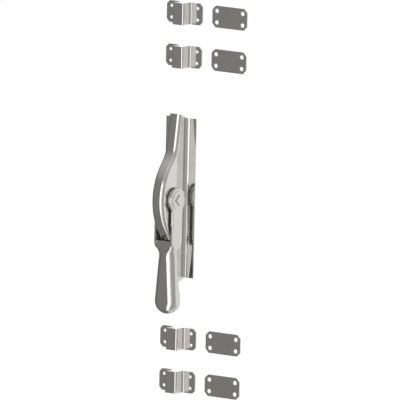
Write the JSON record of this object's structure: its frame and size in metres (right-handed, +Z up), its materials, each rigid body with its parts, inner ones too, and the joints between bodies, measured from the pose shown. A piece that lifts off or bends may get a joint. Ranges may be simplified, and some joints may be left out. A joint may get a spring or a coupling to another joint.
{
  "type": "bascule bolt",
  "caption": "Surface bascule bolt set: pressed housing with a forked lever handle that drives two sliding racks, with rod guides and flat plates.",
  "frame": {"origin": "on the door face, level with the handle's pivot, on the housing's centre line", "axes": "+Z up along the bolt, +Y into the door, +X to the right as seen from the room"},
  "size_m": [0.1345, 0.0555, 0.541],
  "materials": {
    "housing_steel": "polished stainless steel sheet",
    "guide_steel": "polished stainless steel strip",
    "plate_steel": "ground stainless steel sheet",
    "handle_steel": "cast stainless steel, polished",
    "axle_steel": "turned and milled steel",
    "rack_steel": "cut steel plate, oiled",
    "bush_steel": "turned and hardened steel",
    "pad_plastic": "white acetal"
  },
  "bodies": {
    "root": {"housing": "housing_steel", "back_plate": "housing_steel", "crown_pad": "pad_plastic", "right_bush": "bush_steel", "left_bush": "bush_steel", "upper_outer_guide": "guide_steel", "upper_inner_guide": "guide_steel", "lower_inner_guide": "guide_steel", "lower_outer_guide": "guide_steel", "upper_outer_plate": "plate_steel", "upper_inner_plate": "plate_steel", "lower_inner_plate": "plate_steel", "lower_outer_plate": "plate_steel"},
    "handle": {"handle": "handle_steel", "pinion": "axle_steel", "spindle": "axle_steel", "right_washer": "handle_steel", "left_washer": "handle_steel"},
    "upper_slider": {"upper_rack": "rack_steel", "upper_coupler": "rack_steel", "upper_rivets": "axle_steel"},
    "lower_slider": {"lower_rack": "rack_steel", "lower_coupler": "rack_steel", "lower_rivets": "axle_steel"}
  },
  "joints": [
    {"name": "handle_turn", "type": "hinge", "parent": "root", "child": "handle", "pos_m": [0, -0.027, 0], "axis": [-1, 0, 0], "range_deg": [0, 150]},
    {"name": "upper_slide", "type": "slide", "parent": "root", "child": "upper_slider", "axis": [0, 0, -1], "range_m": [0, 0.0275]},
    {"name": "lower_slide", "type": "slide", "parent": "root", "child": "lower_slider", "axis": [0, 0, 1], "range_m": [0, 0.0275]}
  ],
  "couplings": [
    {"joint": "upper_slide", "follows": "handle_turn", "m_per_rad": 0.0105},
    {"joint": "lower_slide", "follows": "handle_turn", "m_per_rad": 0.0105}
  ]
}
